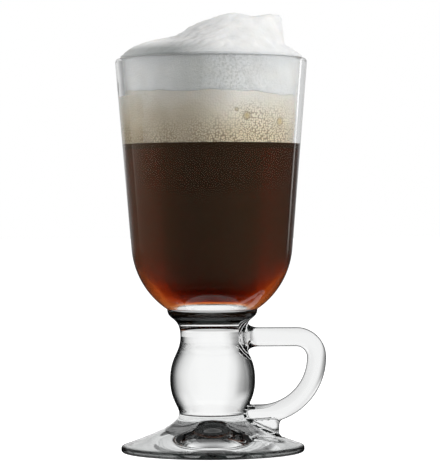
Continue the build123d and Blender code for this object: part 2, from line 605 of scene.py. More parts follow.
@dataclass(frozen=True)
class FoamFinish:
    """Fine white milk foam with tiny pits, creased over the rim, with painted shade in its pits and folds and on its
    front behind the glass and just over the rim.
    """

    name: str
    light: Colour = (0.92, 0.92, 0.91)
    shade: Colour = (0.82, 0.82, 0.81)
    pits: float = 2600.0
    # Painted shadow in the folds on the mound's flank.
    crease_shadow: Colour = (0.58, 0.58, 0.58)
    crease_width: float = 2.4
    # Painted shade: a grey patch on the foam behind the glass, its share from side to side in wet.
    painted_shade_grey: Colour = (0.57, 0.58, 0.555)
    wet: Points = (
        (-36, 0.0), (-22, 0.05), (-15, 0.25), (-9, 0.75), (-4, 0.75), (2, 0.2), (8, 0.0), (22, 0.05), (36, 0.15))
    # Painted shade on the foam just over the rim, its share from side to side in ledge.
    ledge_shade_grey: Colour = (0.36, 0.375, 0.37)
    ledge: Points = ((-36, 0.7), (-25, 0.85), (-14, 1.0), (-6, 0.6), (-2, 0.3), (4, 0.05), (8, 0.0))
    rim_z: float = 147.0
    front: Point = (4.0, -8.0)

    def crease_shadows(self, desk: Desk) -> Socket:
        """Draws painted shadows in the slanting folds on the long flank of the mound.

        Args:
            desk: shader desk to work on.

        Returns:
            The share of painted shadow.
        """
        x, _, z = desk.axes()
        across = desk.maths("ADD", desk.product(x, FOLD_SLOPE[0]), desk.product(z, FOLD_SLOPE[1]))
        across = desk.maths("ADD", across, desk.product(desk.noise(90.0), 7.0 * MM))
        wave = desk.wave(desk.product(across, 2 * math.pi / (self.crease_width * MM)))
        lines = desk.ramp(wave, ((0.0, 0.95), (0.5, 0.6)))
        over = desk.span(z, self.rim_z + 1.0, self.rim_z + 3.5)
        return desk.product(lines, desk.span(x, -20.0, -12.0), desk.span(x, 7.0, -6.0), over)

    def painted_shade_patch(self, desk: Desk) -> Socket:
        """Draws a grey patch of painted shade on the foam behind the glass, with grey specks beside it.

        Args:
            desk: shader desk to work on.

        Returns:
            The share of grey.
        """
        x, y, z = desk.axes()
        specks = desk.ramp(desk.noise(1150.0), ((0.45, 0.0), (0.65, 0.65)))
        band = desk.product(desk.span(x, -7.0, 5.0), desk.span(x, 24.0, 8.0))
        # Share of painted shade from side to side, with the specks.
        wet = desk.maths("MULTIPLY_ADD", specks, band, desk.profile(x, self.wet))
        below = desk.span(z, self.rim_z + 0.1, self.rim_z - 0.1)
        return desk.product(wet, below, desk.span(y, *self.front))

    def ledge_shade(self, desk: Desk) -> Socket:
        """Draws painted shade on the ledge of foam just over the rim.

        Args:
            desk: shader desk to work on.

        Returns:
            The share of grey.
        """
        x, y, z = desk.axes()
        over = desk.span(z, self.rim_z, self.rim_z + 0.05)
        under = desk.span(z, self.rim_z + 5.6, self.rim_z + 2.6)
        return desk.product(under, over, desk.span(y, *self.front), desk.profile(x, self.ledge))

    def material(self) -> Material:
        """Makes the foam material.

        Returns:
            The new material.
        """
        made, desk = new_material(self.name)
        drift = desk.ramp(desk.noise(160.0, 3.0), ((0.35, 0.0), (0.7, 1.0)))
        pits = desk.ramp(desk.cells(self.pits), ((0.1, 1.0), (0.45, 0.0)))
        tone = desk.mix(drift, self.light, self.shade)
        # Pits darken a little, as painted shade.
        tone = desk.mix(desk.product(pits, 0.25), tone, self.shade)
        tone = desk.mix(self.crease_shadows(desk), tone, self.crease_shadow)
        tone = desk.mix(self.painted_shade_patch(desk), tone, self.painted_shade_grey)
        tone = desk.mix(self.ledge_shade(desk), tone, self.ledge_shade_grey)
        grain = desk.bump(desk.noise(700.0, 3.0), 0.35, 0.6, desk.bump(desk.cells(self.pits), 0.35, 0.3))
        desk.finish(desk.add("ShaderNodeBsdfPrincipled", {
            "Base Color": tone, "Roughness": 0.6, "Subsurface Weight": 0.5, "Subsurface Scale": 0.003,
            "Subsurface Radius": (1.0, 0.9, 0.8), "Normal": grain}))
        return made


@dataclass
class Finishes:
    """One material of each kind, shared by the pieces."""

    # Each glass finish darkens towards its silhouette by painted shade.
    glass: Material = field(default_factory=GlassFinish("clear glass").material)
    rim: Material = field(default_factory=GlassFinish(
        "rim glass", line=WHITE, outline=((0.0, 0.95), (0.6, 0.95), (0.9, 0.6)),
        clearness=((0.5, 1.0), (1.0, 0.6))).material)
    # Ball stem: wide painted shade towards its edges.
    heavy: Material = field(default_factory=GlassFinish(
        "heavy clear glass", line=PAINTED_SHADE, outline=((0.44, 0.0), (0.56, 0.5), (0.68, 0.93), (1.0, 0.97)),
        clearness=((0.16, 1.0), (0.31, 0.72), (0.44, 0.33), (0.64, 0.06), (1.0, 0.02))).material)
    # Collar: painted shade at its outer edges and in bands at given heights.
    collar: Material = field(default_factory=GlassFinish(
        "collar glass", line=PAINTED_SHADE, outside_only=True, outline=((0.65, 0.0), (0.8, 0.6), (0.9, 0.95)),
        clearness=((0.4, 1.0), (0.6, 0.7), (0.8, 0.2), (1.0, 0.02)),
        painted_shade_bands=((43.2, 0.0), (45.3, 0.0), (45.8, 0.4), (46.3, 0.2), (46.7, 0.0), (47.9, 0.0), (48.4, 0.4), (48.9, 0.95),
               (50.7, 0.95), (51.2, 0.4), (53.3, 0.5))).material)
    # Foot: grey absorption inside, painted shade at its rim and in bands low down.
    foot: Material = field(default_factory=GlassFinish(
        "clear glass foot", depth=3.0, line=PAINTED_SHADE, outline=((0.92, 0.0), (1.0, 0.6)),
        clearness=((0.55, 1.0), (0.80, 0.85), (1.0, 0.4)),
        painted_shade_bands=((0.0, 0.96), (0.9, 0.85), (1.2, 0.65), (1.5, 0.9), (2.2, 0.94), (2.7, 0.1), (3.2, 0.0),
               (14.4, 0.0))).material)
    # Hollow under the foot: mostly a dark see-through sheet, painted shade.
    dome: Material = field(default_factory=GlassFinish(
        "hollow under the foot", line=(0.10, 0.105, 0.104), ripple=0.3, outline=((0.0, 0.8), (0.6, 0.7), (1.0, 0.5)),
        clearness=((0.0, 0.6), (1.0, 0.4))).material)
    rod: Material = field(default_factory=GlassFinish(
        "clear glass rod", clear=(0.94, 0.945, 0.945), line=(0.15, 0.155, 0.155),
        outline=((0.50, 0.0), (0.62, 0.55), (0.80, 0.95)), clearness=((0.4, 1.0), (0.7, 0.85), (1.0, 0.4))).material)
    # Joints: painted dark strokes and painted glints round the rod's roots.
    root: Material = field(default_factory=GlassFinish(
        "glass of the joints", line=PAINTED_SHADE, ripple=0.5, ripple_scale=420.0, marks=520.0, outline=((0.6, 0.0), (0.9, 0.7)),
        clearness=((0.20, 0.9), (0.45, 0.5), (0.70, 0.15), (1.0, 0.05))).material)
    wetted: Material = field(default_factory=GlassFinish(
        "glass wetted by coffee", ior=1.52 / 1.34, outline=((0.0, 0.0), (1.0, 0.0)),
        clearness=((0.0, 1.0), (1.0, 0.95))).material)
    seam: Material = field(default_factory=SeamFinish("fused seam").material)
    heart: Material = field(default_factory=SeamFinish("heart of the coffee", (0.633, 0.467, 0.20), 300.0).material)
    body: Material = field(default_factory=SeamFinish("body of the coffee", (0.667, 0.40, 0.20), 150.0).material)
    coffee: Material = field(default_factory=CoffeeFinish("black coffee").material)
    coffee_top: Material = field(default_factory=CoffeeFinish(
        "coffee under the froth", brown=(0.05, 0.03, 0.018), cloud=1.0).material)
    froth: Material = field(default_factory=FrothFinish("coffee froth").material)
    foam: Material = field(default_factory=FoamFinish("milk foam").material)


# Turned shapes

@dataclass
class Outline:
    """Half outline of a turned piece: millimetres from the axis and above the table."""

    points: list[Point] = field(default_factory=list)
    marks: list[int] = field(default_factory=list)
    mark: int = 0

    def start(self, r: float, z: float) -> "Outline":
        """Sets the first point and returns the outline."""
        self.points = [(r, z)]
        return self

    def region(self, mark: int) -> "Outline":
        """Sets the mark of the stretches that follow and returns the outline."""
        self.mark = int(mark)
        return self

    def reach(self, r: float, z: float) -> None:
        """Adds one point with the present mark."""
        self.points.append((r, z))
        self.marks.append(self.mark)

    def line(self, r: float, z: float, step: float = 0.7) -> "Outline":
        """Adds a straight run.

        Args:
            r: radius of its end.
            z: height of its end.
            step: longest gap between points.

        Returns:
            The outline.
        """
        r0, z0 = self.points[-1]
        count = max(1, math.ceil(math.hypot(r - r0, z - z0) / step))
        for i in range(1, count + 1):
            self.reach(r0 + (r - r0) * i / count, z0 + (z - z0) * i / count)
        return self

    def curve(self, first: Point, second: Point, end: Point, count: int) -> "Outline":
        """Adds a cubic curve.

        Args:
            first: first control point.
            second: second control point.
            end: last point.
            count: number of steps.

        Returns:
            The outline.
        """
        begin = self.points[-1]
        for i in range(1, count + 1):
            t = i / count
            a, b, c, d = (1 - t) ** 3, 3 * t * (1 - t) ** 2, 3 * t * t * (1 - t), t**3
            self.reach(*(a * p + b * q + c * s + d * e for p, q, s, e in zip(begin, first, second, end)))
        return self

    def arc(self, centre: Point, to_angle: float, count: int) -> "Outline":
        """Adds an arc about a centre, the short way round.

        Args:
            centre: centre of the arc.
            to_angle: direction of its end from the centre, in radians.
            count: number of steps.

        Returns:
            The outline.
        """
        dr, dz = self.points[-1][0] - centre[0], self.points[-1][1] - centre[1]
        radius, begin = math.hypot(dr, dz), math.atan2(dz, dr)
        for i in range(1, count + 1):
            angle = begin + (to_angle - begin) * i / count
            self.reach(max(0.0, centre[0] + radius * math.cos(angle)), centre[1] + radius * math.sin(angle))
        return self


@dataclass
class Shape:
    """Vertices in metres and marked faces, on the way to a mesh."""

    verts: list[Spot] = field(default_factory=list)
    faces: list[tuple[int, ...]] = field(default_factory=list)
    marks: list[int] = field(default_factory=list)

    @classmethod
    def turned(cls, outline: Outline, segments: int) -> "Shape":
        """Turns an outline about the axis.

        Args:
            outline: half outline from one end on the axis to the other.
            segments: faces in each turn.

        Returns:
            The closed shape.
        """
        shape, turn = cls(), circle(segments)
        rings = [shape.ring((r * c, r * s, z) for c, s in turn) if r > 1e-6 else shape.ring([(0.0, 0.0, z)]) * segments
                 for r, z in outline.points]
        shape.skin(rings, outline.marks)
        return shape

    def ring(self, points: Iterable[Spot]) -> list[int]:
        """Adds points without joining them yet.

        Args:
            points: places in millimetres.

        Returns:
            Their vertex numbers.
        """
        start = len(self.verts)
        self.verts += [(x * MM, y * MM, z * MM) for x, y, z in points]
        return list(range(start, len(self.verts)))

    def skin(self, rings: list[list[int]], marks: Sequence[int]) -> None:
        """Joins neighbouring rings with faces.

        Args:
            rings: vertex numbers of each ring, all of one length, a point given by one number repeated.
            marks: mark of each stretch between two rings.
        """
        for low, high, mark in zip(rings, rings[1:], marks):
            for j in range(len(low)):
                k = (j + 1) % len(low)
                corners = [low[j], low[k], high[k], high[j]]
                face = tuple(v for i, v in enumerate(corners) if v != corners[i - 1])
                if len(face) > 2:
                    self.faces.append(face)
                    self.marks.append(mark)

    def tube(self, rings: list[list[int]], mark: int) -> "Shape":
        """Joins rings into a tube with closed ends.

        Args:
            rings: vertex numbers of each ring.
            mark: mark of its faces.

        Returns:
            The shape.
        """
        self.skin(rings, [mark] * (len(rings) - 1))
        self.faces += [tuple(reversed(rings[0])), tuple(rings[-1])]
        self.marks += [mark] * 2
        return self

    def inside_out(self) -> "Shape":
        """Turns every face round and returns the shape."""
        self.faces = [tuple(reversed(face)) for face in self.faces]
        return self

    def join(self, other: "Shape") -> "Shape":
        """Takes in the faces of another shape.

        Args:
            other: shape to take in.

        Returns:
            This shape.
        """
        start = len(self.verts)
        self.verts += other.verts
        self.faces += [tuple(start + v for v in face) for face in other.faces]
        self.marks += other.marks
        return self

    def mesh(self, name: str) -> bpy.types.Mesh:
        """Makes a smooth mesh whose material numbers are the marks.

        Args:
            name: name of the mesh.

        Returns:
            The new mesh.
        """
        made = bpy.data.meshes.new(name)
        made.from_pydata(self.verts, [], self.faces)
        made.polygons.foreach_set("material_index", self.marks)
        made.polygons.foreach_set("use_smooth", [True] * len(self.faces))
        made.update()
        return made


def place(name: str, mesh: bpy.types.Mesh, materials: Sequence[Material | None]) -> bpy.types.Object:
    """Puts a mesh into the scene.

    Args:
        name: name of the object.
        mesh: its mesh.
        materials: its material slots in order.

    Returns:
        The new object.
    """
    for material in materials:
        mesh.materials.append(material)
    made = bpy.data.objects.new(name, mesh)
    bpy.context.scene.collection.objects.link(made)
    return made


def seat(piece: bpy.types.Object, node: str) -> bpy.types.Object:
    """Lets a piece stand for its CAD node.

    Args:
        piece: dressed piece.
        node: CAD node that it stands for.

    Returns:
        The piece.
    """
    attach(piece, BODY)
    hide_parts(node)
    LOG.info("%s: %d faces", piece.name, len(piece.data.polygons))
    return piece


def worked(blank: bpy.types.Object) -> bpy.types.Mesh:
    """Gives a blank's mesh as its modifiers leave it."""
    return bpy.data.meshes.new_from_object(blank.evaluated_get(bpy.context.evaluated_depsgraph_get()))


def relax(work: bmesh.types.BMesh, verts: Sequence[bmesh.types.BMVert], times: int) -> None:
    """Smooths some points of a mesh.

    Args:
        work: mesh being worked on.
        verts: points to smooth.
        times: number of rounds.
    """
    for _ in range(times):
        bmesh.ops.smooth_vert(work, verts=verts, factor=0.5, use_axis_x=True, use_axis_y=True, use_axis_z=True)


def mark_creases(mesh: bpy.types.Mesh, angle: float = CREASE) -> None:
    """Marks the edges that fold more than an angle as sharp.

    Args:
        mesh: mesh to mark.
        angle: least fold in radians.
    """
    work = bmesh.new()
    work.from_mesh(mesh)
    for edge in work.edges:
        edge.smooth = not (len(edge.link_faces) == 2 and edge.calc_face_angle(0.0) > angle)
    work.to_mesh(mesh)
    work.free()
    mesh.update()


# Pieces

@dataclass
class FusedStem:
    """Foot, ball stem, collar and handle, fused into one flow of glass and kept as four pieces."""

    finishes: Finishes
    segments: int = 144
    foot_r: float = 34.3
    foot_height: float = 14.4
    foot_edge: float = 2.4
    foot_edge_round: float = 0.8
    ring_width: float = 3.4
    hollow_depth: float = 1.8
    dome_r: float = 15.0
    dome_height: float = 9.4
    waist_r: float = 12.6
    ball_r: float = 15.95
    ball_height: float = 28.8
    belly_height: float = 12.4
    neck_r: float = 12.0
    collar_r: float = 16.9
    collar_height: float = 10.1
    rod_r: float = 3.6
    rod_segments: int = 56
    rod_start: float = 6.0
    reach: float = 39.0
    corner: float = 7.6
    top_drop: float = 0.4
    end_drop: float = 0.5
    flare: float = 3.6
    flare_bend: float = 1.8
    pad_reach: float = 24.9
    pad_width: float = 6.2
    pad_inset: float = 1.5
    pad_sink: float = 3.0
    pad_lift: float = 1.0
    pad_steps: int = 14
    pad_levels: int = 12
    weld: float = 0.02
    fillets: tuple[tuple[float, int], ...] = ((2.4, 6), (1.7, 10), (1.0, 12))
    joint_reach: float = 5.0
    joint_x: float = 9.8
    low_joint_reach: float = 2.4
    low_joint_x: float = 15.8
    rod_joint_reach: float = 3.6
    rod_joint_over: float = 2.4
    low_rod_joint_over: float = 2.0
    rod_seam_reach: float = 0.8

    def __post_init__(self) -> None:
        """Works out the heights of neck, bowl and rod."""
        self.neck_z = self.foot_height + self.ball_height
        self.bowl_z = self.neck_z + self.collar_height
        self.rod_top_z = self.neck_z - self.top_drop
        self.rod_end_z = self.foot_height - self.end_drop

    def outline(self) -> Outline:
        """Draws foot, ball and collar.

        Returns:
            The half outline from the dome under the foot to the seam of the bowl.
        """
        rise = self.foot_height - self.foot_edge
        e = self.foot_edge_round
        made = Outline().start(0.0, self.dome_height).region(Region.DOME)
        made.curve((0.28 * self.dome_r, self.dome_height),
                   (0.40 * self.dome_r, self.hollow_depth + 0.1 * self.dome_height),
                   (self.dome_r, self.hollow_depth), 36)
        made.region(Region.FOOT).line(self.foot_r - self.ring_width, 0.0).line(self.foot_r - e, 0.0)
        made.arc((self.foot_r - e, e), 0.0, 6).line(self.foot_r, self.foot_edge - e)
        made.arc((self.foot_r - e, self.foot_edge - e), math.radians(72), 6)
        made.curve((self.foot_r - 0.68 * (self.foot_r - self.waist_r), self.foot_edge + 0.41 * rise),
                   (self.waist_r, self.foot_height - 0.29 * rise), (self.waist_r, self.foot_height), 40)
        belly_z = self.foot_height + self.belly_height
        made.region(Region.BALL)
        made.curve((self.waist_r, self.foot_height + 0.20 * self.belly_height),
                   (self.ball_r, belly_z - 0.58 * self.belly_height), (self.ball_r, belly_z), 26)
        made.curve((self.ball_r, belly_z + 0.55 * (self.neck_z - belly_z)),
                   (self.neck_r, self.neck_z - 0.39 * (self.neck_z - belly_z)), (self.neck_r, self.neck_z), 32)
        made.region(Region.COLLAR)
        made.curve((self.neck_r, self.neck_z + 0.75 * self.collar_height),
                   (self.collar_r, self.bowl_z - 0.42 * self.collar_height), (self.collar_r, self.bowl_z), 24)
        made.region(Region.SEAM).line(0.0, self.bowl_z, 2.0)
        return made

    def path(self) -> list[tuple[Point, Point, float]]:
        """Follows the middle of the rod from the neck round to the waist.

        Returns:
            Place, in-plane side direction and radius of each station.
        """
        top, end = self.rod_top_z, self.rod_end_z
        bend = top - self.corner - end
        stations: list[tuple[Point, Point, float]] = []
        flare_end = self.neck_r + 1.4 * self.flare
        straight = self.reach - self.corner
        for i in range(44):
            x = self.rod_start + (straight - self.rod_start) * i / 44
            share = clamp((flare_end - x) / (flare_end - self.neck_r + 2.0))
            stations.append(((x, top), (0.0, 1.0), self.rod_r + self.flare * share**self.flare_bend))
        for centre, radius, first, count in (((straight, top - self.corner), self.corner, math.pi / 2, 26),
                                             ((self.reach - bend, end + bend), bend, 0.0, 60)):
            for i in range(count):
                angle = first - (math.pi / 2) * i / count
                side = (math.cos(angle), math.sin(angle))
                stations.append(((centre[0] + radius * side[0], centre[1] + radius * side[1]), side, self.rod_r))
        for i in range(19):
            x = self.reach - bend + (self.rod_start - self.reach + bend) * i / 18
            stations.append(((x, end), (0.0, -1.0), self.rod_r))
        return stations

    def rod(self) -> Shape:
        """Builds the bent rod with its flared upper root.

        Returns:
            A closed tube whose ends lie inside the stem.
        """
        shape, turn = Shape(), circle(self.rod_segments)
        rings = [shape.ring((x + radius * c * sx, radius * s, z + radius * c * sz) for c, s in turn)
                 for (x, z), (sx, sz), radius in self.path()]
        return shape.tube(rings, Region.HANDLE)

    def pad(self) -> Shape:
        """Builds the web of glass between the lower end of the rod and the foot.

        Returns:
            A closed upright blade with a round nose.
        """
        half, top = self.pad_width / 2, self.rod_end_z + 0.6
        waist, inset, nose = self.waist_r, self.pad_inset, self.pad_reach - half
        side = [waist - inset + (nose - waist + inset) * i / self.pad_steps for i in range(self.pad_steps)]
        plan = [(x, -half) for x in side]
        plan += [(nose + half * math.sin(a), -half * math.cos(a)) for a in np.linspace(0.0, math.pi, 19)]
        plan += [(x, half) for x in reversed(side)]
        fall = self.foot_edge + self.pad_lift - self.foot_height + self.pad_sink
        lows = [self.foot_height - self.pad_sink + fall * ((x - waist + inset) / (self.pad_reach - waist + inset))
                for x, _ in plan]
        shape = Shape()
        rings = [shape.ring((x, y, low + (top - low) * level / self.pad_levels) for (x, y), low in zip(plan, lows))
                 for level in range(self.pad_levels + 1)]
        return shape.tube(rings, Region.PAD)

    def fuse(self) -> bpy.types.Mesh:
        """Joins stem, rod and pad, rounds their joints as hot glass does and marks the faces pressed there.

        Returns:
            One closed mesh whose material numbers name the regions.
        """
        blanks = [None] * len(Region)
        stem = place("stem blank", Shape.turned(self.outline(), self.segments).mesh("stem blank"), blanks)
        adds = [place(f"add {i}", shape.mesh(f"add {i}"), blanks) for i, shape in enumerate((self.pad(), self.rod()))]
        for add in adds:
            join = stem.modifiers.new("fuse", "BOOLEAN")
            join.operation, join.solver, join.object = "UNION", "EXACT", add
        fused = worked(stem)
        for blank in (*adds, stem):
            bpy.data.objects.remove(blank)
        work = bmesh.new()
        work.from_mesh(fused)
        bmesh.ops.remove_doubles(work, verts=work.verts, dist=self.weld * MM)
        bmesh.ops.triangulate(work, faces=[f for f in work.faces if len(f.verts) > 4])
        gap = self.joint_gaps(work)
        work.verts.ensure_lookup_table()
        for reach, times in self.fillets:
            relax(work, [work.verts[i] for i in np.nonzero(gap < reach * MM)[0]], times)
        joint = work.faces.layers.int.new("joint")
        for face in work.faces:
            face.smooth = True
            reach = self.pressed(face.calc_center_median() / MM, face.material_index)
            face[joint] = int(max(gap[v.index] for v in face.verts) < reach * MM)
        work.to_mesh(fused)
        work.free()
        mark_creases(fused)
        return fused

    def joint_gaps(self, work: bmesh.types.BMesh) -> np.ndarray:
        """Measures how far each point lies from the joints of rod and pad.

        Args:
            work: fused glass.

        Returns:
            The distances in metres, or a whole metre far from every joint.
        """
        added = {Region.HANDLE, Region.PAD}
        sides = [(e, {f.material_index for f in e.link_faces}) for e in work.edges if len(e.link_faces) == 2]
        seeds = np.array([v.co.copy() for e, marks in sides if marks & added and len(marks) == 2 for v in e.verts])
        coords = np.array([v.co for v in work.verts])
        margin = 6 * MM
        near_box = (coords > seeds.min(0) - margin).all(1) & (coords < seeds.max(0) + margin).all(1)
        gap = np.full(len(coords), 1.0)
        for i in np.nonzero(near_box)[0]:
            gap[i] = np.sqrt(((seeds - coords[i]) ** 2).sum(1).min())
        return gap

    def pressed(self, spot: Vector, region: int) -> float:
        """Tells how far from a joint the glass is still crinkled.

        Args:
            spot: place in millimetres.
            region: part of the glass.

        Returns:
            The reach in millimetres.
        """
        high = spot.z > 2 * self.foot_height
        if region in (Region.HANDLE, Region.PAD):
            if high:
                flared = abs(spot.z - self.rod_top_z) > self.rod_joint_over
            else:
                flared = spot.z - self.rod_end_z > self.low_rod_joint_over and spot.x < self.low_joint_x
            return self.rod_joint_reach if flared else self.rod_seam_reach
        if spot.x < self.joint_x:
            return 0.0
        return self.joint_reach if high else self.low_joint_reach

    def build(self) -> list[bpy.types.Object]:
        """Splits the fused glass into its pieces and dresses them.

        Returns:
            Foot, ball stem, collar and handle.
        """
        fused = self.fuse()
        store = fused.attributes.new("flow", "FLOAT_VECTOR", "CORNER")
        flow = np.zeros(len(fused.loops) * 3, np.float32)
        fused.corner_normals.foreach_get("vector", flow)
        store.data.foreach_set("vector", flow)
        made = []
        looks = self.finishes
        for name, regions, glass in (
                ("foot", (Region.FOOT, Region.DOME), (looks.foot, looks.seam, looks.root, looks.dome)),
                ("ball_stem", (Region.BALL,), (looks.heavy, looks.seam, looks.root)),
                ("collar", (Region.COLLAR, Region.SEAM), (looks.collar, looks.seam, looks.root)),
                ("handle", (Region.HANDLE, Region.PAD), (looks.rod, looks.seam, looks.root))):
            made.append(seat(self.cut_out(fused, f"glass_{name}", regions, glass), name))
        bpy.data.meshes.remove(fused)
        return made

    def cut_out(self, fused: bpy.types.Mesh, name: str, regions: Sequence[Region],
                glass: Sequence[Material]) -> bpy.types.Object:
        """Takes some regions out of the fused glass and closes them with seam faces.

        Args:
            fused: whole mesh with its normals stored as "flow".
            name: name of the piece.
            regions: marks of the faces to keep.
            glass: finishes of its skin, its seams, its joints and its hollow.

        Returns:
            The closed piece.
        """
        work = bmesh.new()
        work.from_mesh(fused)
        bmesh.ops.delete(work, geom=[f for f in work.faces if f.material_index not in regions], context="FACES")
        joint = work.faces.layers.int["joint"]
        for face in work.faces:
            plain = StemSkin.ROOT if face[joint] else StemSkin.CLEAR
            special = {Region.SEAM: StemSkin.SEAM, Region.DOME: StemSkin.DOME}
            face.material_index = special.get(face.material_index, plain)
        caps = bmesh.ops.holes_fill(work, edges=[e for e in work.edges if e.is_boundary], sides=0)["faces"]
        flow = work.loops.layers.float_vector["flow"]
        for face in caps:
            face.material_index, face.smooth = StemSkin.SEAM, False
            for loop in face.loops:
                loop[flow] = Vector((0.0, 0.0, 0.0))
        bmesh.ops.triangulate(work, faces=caps)
        mesh = bpy.data.meshes.new(name)
        work.to_mesh(mesh)
        work.free()
        normals = np.zeros(len(mesh.loops) * 3, np.float32)
        mesh.attributes["flow"].data.foreach_get("vector", normals)
        for used in ("flow", "joint"):
            mesh.attributes.remove(mesh.attributes[used])
        mesh.normals_split_custom_set(normals.reshape(-1, 3).tolist())
        return place(name, mesh, glass)


@dataclass
class Bowl:
    """Tall cup of the mug, and the shape of the room inside it."""

    finishes: Finishes
    segments: int = 192
    seam_z: float = 53.3
    seam_r: float = 16.9
    rim_z: float = 147.0
    rim_r: float = 36.0
    round_r: float = 30.25
    wall: float = 2.6
    floor: float = 4.7
    room_round: float = 18.5
    lip: float = 1.15
    coffee_z: float = 115.2
    wet_z: float = 133.0
    wet_x: float = -24.0

    def __post_init__(self) -> None:
        """Works out the lean of the wall and the round floor inside."""
        self.round_z = self.seam_z + math.sqrt(self.round_r**2 - self.seam_r**2)
        rise = self.rim_z - self.round_z
        self.lean = math.acos(self.round_r / math.hypot(self.rim_r, rise)) - math.atan2(rise, self.rim_r)
        self.floor_z = self.seam_z + self.floor
        self.mouth_r = self.rim_r - self.wall / math.cos(self.lean)
        self.room_z = self.floor_z + self.room_round
        self.room_r = self.inside(self.room_z) - self.room_round / math.cos(self.lean)

    def inside(self, z: float) -> float:
        """Radius of the room's cone at a height."""
        return self.mouth_r - (self.rim_z - z) * math.tan(self.lean)

    def outline(self) -> Outline:
        """Draws the bowl from its seam up, over the rounded lip and down to the floor.

        Returns:
            The half outline.
        """
        lean, e, top = self.lean, self.lip, self.rim_z - self.lip
        made = Outline().start(0.0, self.seam_z).region(BowlSkin.SEAM).line(self.seam_r, self.seam_z, 2.0)
        made.region(BowlSkin.CLEAR).arc((0.0, self.round_z), -lean, 56)
        out_r = self.rim_r - e * math.tan(lean) - e / math.cos(lean)
        made.line(out_r + e * math.cos(lean), top - e * math.sin(lean), 1.0)
        made.region(BowlSkin.RIM).arc((out_r, top), math.pi / 2, 8)
        in_r = self.mouth_r - e * math.tan(lean) + e / math.cos(lean)
        made.line(in_r, self.rim_z, 0.3).arc((in_r, top), math.pi - lean, 8)
        made.region(BowlSkin.CLEAR).line(self.inside(self.wet_z), self.wet_z, 1.0)
        corner = self.room_round
        made.region(BowlSkin.WETTED)
        made.line(self.room_r + corner * math.cos(lean), self.room_z - corner * math.sin(lean), 1.0)
        return made.arc((self.room_r, self.room_z), -math.pi / 2, 40).line(0.0, self.floor_z, 1.0)

    def build(self) -> bpy.types.Object:
        """Builds the bowl, wetted by the coffee and, away from the handle, by the froth.

        Returns:
            The dressed bowl.
        """
        mesh = Shape.turned(self.outline(), self.segments).mesh("glass_bowl")
        mark_creases(mesh)
        for face in mesh.polygons:
            dry = face.center.z > self.coffee_z * MM and face.center.x > self.wet_x * MM
            if face.material_index == BowlSkin.WETTED and dry:
                face.material_index = BowlSkin.CLEAR
        looks = self.finishes
        return seat(place("glass_bowl", mesh, (looks.glass, looks.wetted, looks.seam, looks.rim)), "bowl")


@dataclass
class Layer:
    """Layer of drink that fills the bowl from one uneven level to another."""

    bowl: Bowl
    segments: int
    gap: float = 0.06
    across: int = 20
    up: int = 36

    def __post_init__(self) -> None:
        """Works out the directions round the axis."""
        self.angles = [2 * math.pi * j / self.segments for j in range(self.segments)]

    def pour(self, floor: Sequence[float], top: Sequence[float]) -> Shape:
        """Fills the room between two levels.

        Args:
            floor: height of the floor in each direction, in millimetres.
            top: height of the top in each direction.

        Returns:
            The closed layer.
        """
        shape = Shape()
        rings = [shape.ring([(0.0, 0.0, sum(floor) / len(floor))]) * self.segments]
        shares = [i / self.across for i in range(1, self.across)]
        steps = [(share, 0.0) for share in shares] + [(1.0, i / self.up) for i in range(self.up + 1)]
        steps += [(share, 1.0) for share in reversed(shares)]
        for share, rise in steps:
            points = []
            for angle, low, high in zip(self.angles, floor, top):
                z = low + (high - low) * rise
                r = (self.bowl.inside(z) - self.gap) * share
                points.append((r * math.cos(angle), r * math.sin(angle), z))
            rings.append(shape.ring(points))
        rings.append(shape.ring([(0.0, 0.0, sum(top) / len(top))]) * self.segments)
        shape.skin(rings, [0] * (len(rings) - 1))
        return shape


@dataclass(frozen=True)
class Mound:
    """Heap of milk foam over the rim: its two sides seen with the handle to the right, as height and place."""

    lower_side: Points = (
        (0.0, -18.5), (6.6, -15.8), (8.4, -12.4), (10.6, -9.0), (12.7, -5.2), (14.3, -1.2), (15.6, 2.4), (16.2, 4.4),
        (16.5, 6.6))
    upper_side: Points = (
        (0.0, 28.5), (6.6, 27.3), (10.9, 26.6), (15.0, 26.5), (15.9, 26.2), (16.3, 25.5), (16.5, 24.0))
    depth: Points = (
        (0.0, 30.0), (4.0, 27.5), (8.0, 23.0), (12.0, 17.5), (15.0, 13.0), (16.2, 10.0), (16.5, 8.0))
    square: float = 2.3

    def pour(self, rim_z: float, around: int = 96) -> Shape:
        """Stacks the heap's level slices.

        Args:
            rim_z: height of the rim in millimetres.
            around: points of each slice.

        Returns:
            The closed heap, standing a little below the rim.
        """
        shape, rings = Shape(), []
        for level in (-1.0, *np.linspace(0.0, 15.0, 31), *np.linspace(15.1, 16.5, 15)):
            left, right, deep = (float(np.interp(level, *np.array(side).T))
                                 for side in (self.lower_side, self.upper_side, self.depth))
            points = []
            for c, s in circle(around):
                size = (abs(c) ** self.square + abs(s) ** self.square) ** (-1 / self.square)
                points.append(((left + right + (right - left) * size * c) / 2, deep * size * s, rim_z + level))
            rings.append(shape.ring(points))
        return shape.tube(rings, 0)


